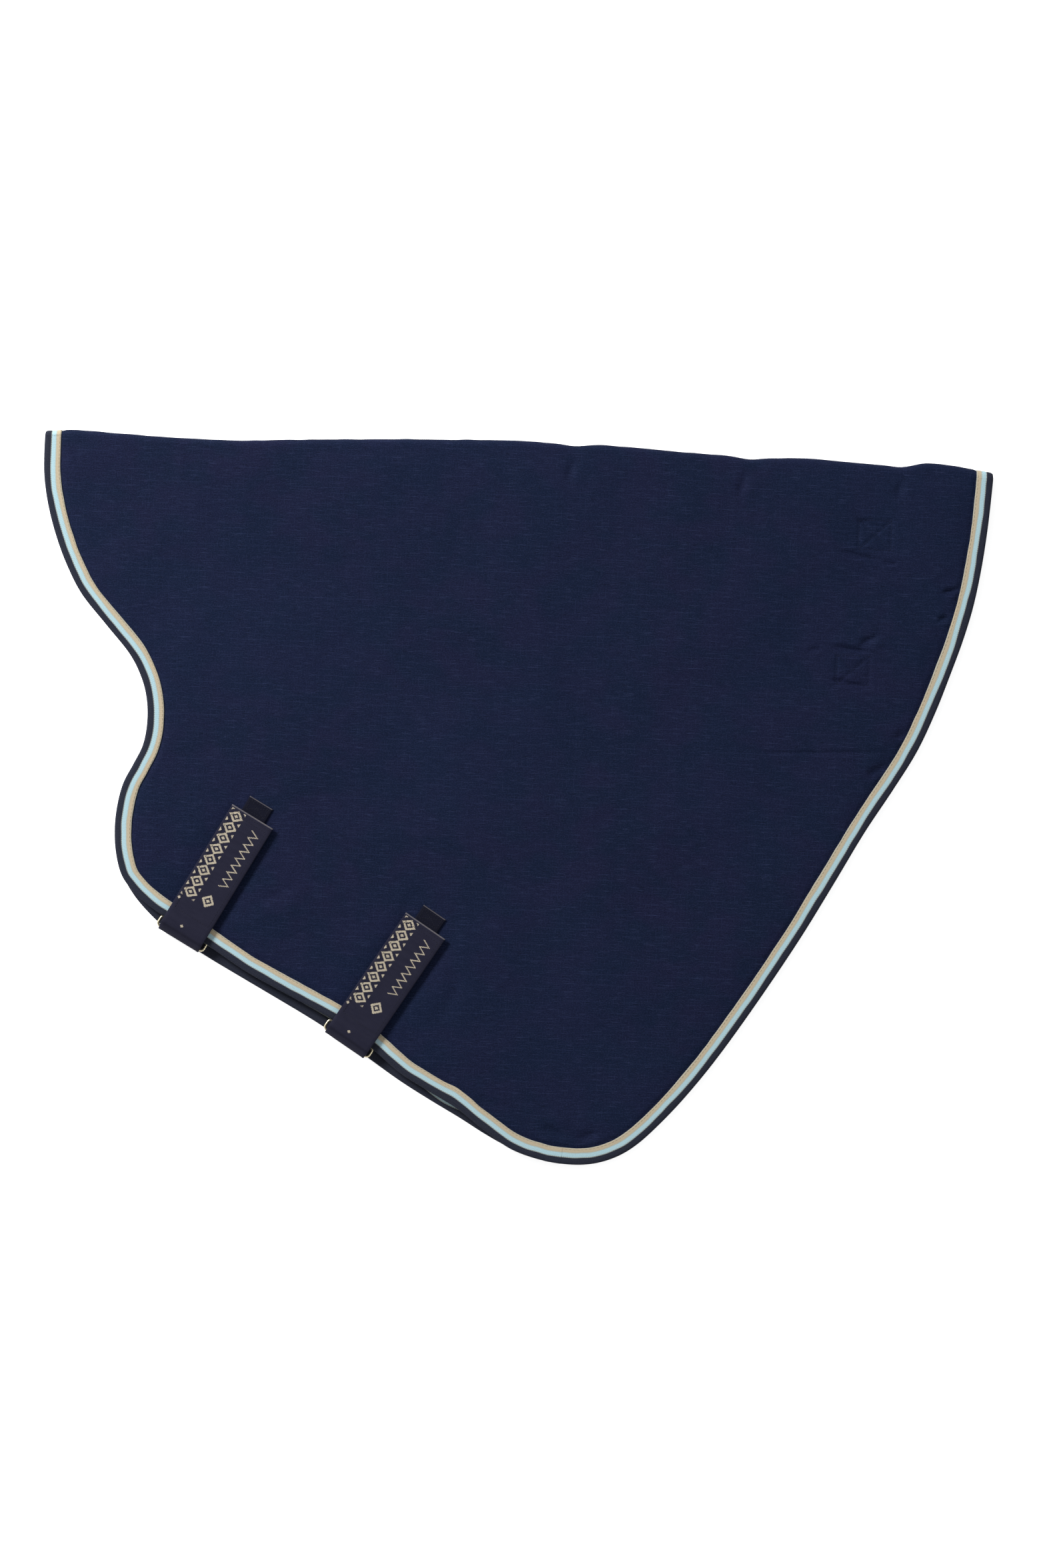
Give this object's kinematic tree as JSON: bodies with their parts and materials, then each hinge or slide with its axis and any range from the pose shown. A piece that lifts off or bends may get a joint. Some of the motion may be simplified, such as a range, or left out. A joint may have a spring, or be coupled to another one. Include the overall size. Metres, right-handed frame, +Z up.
{
  "type": "turnout rug neck cover",
  "caption": "Padded neck cover of a horse turnout rug, folded flat along the crest, with a bound edge, throat straps closed on metal rings, and attachment straps inside.",
  "frame": {"origin": "centre of the bounding box's base, on the surface that the folded cover lies on", "axes": "+X along the crest fold towards the withers end, +Y from the throat to the crest, +Z up out of the near side's outer face"},
  "size_m": [0.9983, 0.756, 0.0204],
  "materials": {
    "ripstop_shell": "fine woven ripstop with a faint grid, soft sheen",
    "lining_cloth": "smooth plain-weave lining, slight sheen",
    "wadding": "matt polyester wadding",
    "edge_binding": "woven tape, charcoal with light blue, tan and cream stripes",
    "strap_webbing": "matt woven webbing with a beige geometric pattern",
    "inner_webbing": "matt woven webbing, plain",
    "hook_tape": "moulded hooks, matt",
    "loop_tape": "brushed loops, matt",
    "ring_metal": "nickel-plated steel wire, polished"
  },
  "bodies": {
    "off_side": {"off_outer_shell": "ripstop_shell", "off_fill": "wadding", "off_lining": "lining_cloth", "off_edge_binding": "edge_binding", "front_ring_tab": "inner_webbing", "rear_ring_tab": "inner_webbing", "off_upper_attachment_base": "inner_webbing", "off_upper_attachment_loop_tape": "loop_tape", "off_lower_attachment_base": "inner_webbing", "off_lower_attachment_loop_tape": "loop_tape"},
    "near_side": {"near_outer_shell": "ripstop_shell", "near_fill": "wadding", "near_lining": "lining_cloth", "near_edge_binding": "edge_binding", "front_strap_base": "strap_webbing", "front_loop_patch": "loop_tape", "rear_strap_base": "strap_webbing", "rear_loop_patch": "loop_tape", "near_upper_attachment_base": "inner_webbing", "near_upper_attachment_loop_tape": "loop_tape", "near_lower_attachment_base": "inner_webbing", "near_lower_attachment_loop_tape": "loop_tape"},
    "front_strap": {"front_strap": "strap_webbing", "front_hook_tape": "hook_tape"},
    "front_ring": {"front_ring": "ring_metal"},
    "rear_strap": {"rear_strap": "strap_webbing", "rear_hook_tape": "hook_tape"},
    "rear_ring": {"rear_ring": "ring_metal"},
    "off_upper_attachment": {"off_upper_attachment_strap": "inner_webbing", "off_upper_attachment_hook_tape": "hook_tape"},
    "off_lower_attachment": {"off_lower_attachment_strap": "inner_webbing", "off_lower_attachment_hook_tape": "hook_tape"},
    "near_upper_attachment": {"near_upper_attachment_strap": "inner_webbing", "near_upper_attachment_hook_tape": "hook_tape"},
    "near_lower_attachment": {"near_lower_attachment_strap": "inner_webbing", "near_lower_attachment_hook_tape": "hook_tape"}
  },
  "joints": [
    {"name": "crest_fold", "type": "hinge", "parent": "off_side", "child": "near_side", "pos_m": [0, 0.3783, 0.0074], "axis": [-1, 0, 0], "range_deg": [0, 175]},
    {"name": "front_strap_peel", "type": "hinge", "parent": "near_side", "child": "front_strap", "pos_m": [-0.33655, -0.15738, 0.0074], "axis": [0.8746, -0.4848, 0], "range_deg": [0, 150]},
    {"name": "rear_strap_peel", "type": "hinge", "parent": "near_side", "child": "rear_strap", "pos_m": [-0.15741, -0.26046, 0.0074], "axis": [0.848, -0.5299, 0], "range_deg": [0, 150]},
    {"name": "front_ring_turn", "type": "hinge", "parent": "off_side", "child": "front_ring", "pos_m": [-0.33073, -0.14688, 0.0074], "axis": [-0.8746, 0.4848, 0], "range_deg": [0, 70]},
    {"name": "rear_ring_turn", "type": "hinge", "parent": "off_side", "child": "rear_ring", "pos_m": [-0.15105, -0.25028, 0.0074], "axis": [-0.848, 0.5299, 0], "range_deg": [0, 70]},
    {"name": "off_upper_attachment_swing", "type": "hinge", "parent": "off_side", "child": "off_upper_attachment", "pos_m": [0.3765, 0.27795, 0.0063], "axis": [-1, 0, 0], "range_deg": [0, 70]},
    {"name": "off_lower_attachment_swing", "type": "hinge", "parent": "off_side", "child": "off_lower_attachment", "pos_m": [0.359, 0.13535, 0.0063], "axis": [-1, 0, 0], "range_deg": [0, 70]},
    {"name": "near_upper_attachment_swing", "type": "hinge", "parent": "near_side", "child": "near_upper_attachment", "pos_m": [0.3765, 0.27795, 0.0085], "axis": [1, 0, 0], "range_deg": [0, 70]},
    {"name": "near_lower_attachment_swing", "type": "hinge", "parent": "near_side", "child": "near_lower_attachment", "pos_m": [0.359, 0.13535, 0.0085], "axis": [1, 0, 0], "range_deg": [0, 70]}
  ],
  "couplings": [
    {"joint": "front_ring_turn", "follows": "crest_fold", "ratio": 0.4},
    {"joint": "rear_ring_turn", "follows": "crest_fold", "ratio": 0.4},
    {"joint": "off_upper_attachment_swing", "follows": "crest_fold", "ratio": 0.4},
    {"joint": "off_lower_attachment_swing", "follows": "crest_fold", "ratio": 0.4},
    {"joint": "near_upper_attachment_swing", "follows": "crest_fold", "ratio": 0.4},
    {"joint": "near_lower_attachment_swing", "follows": "crest_fold", "ratio": 0.4}
  ]
}
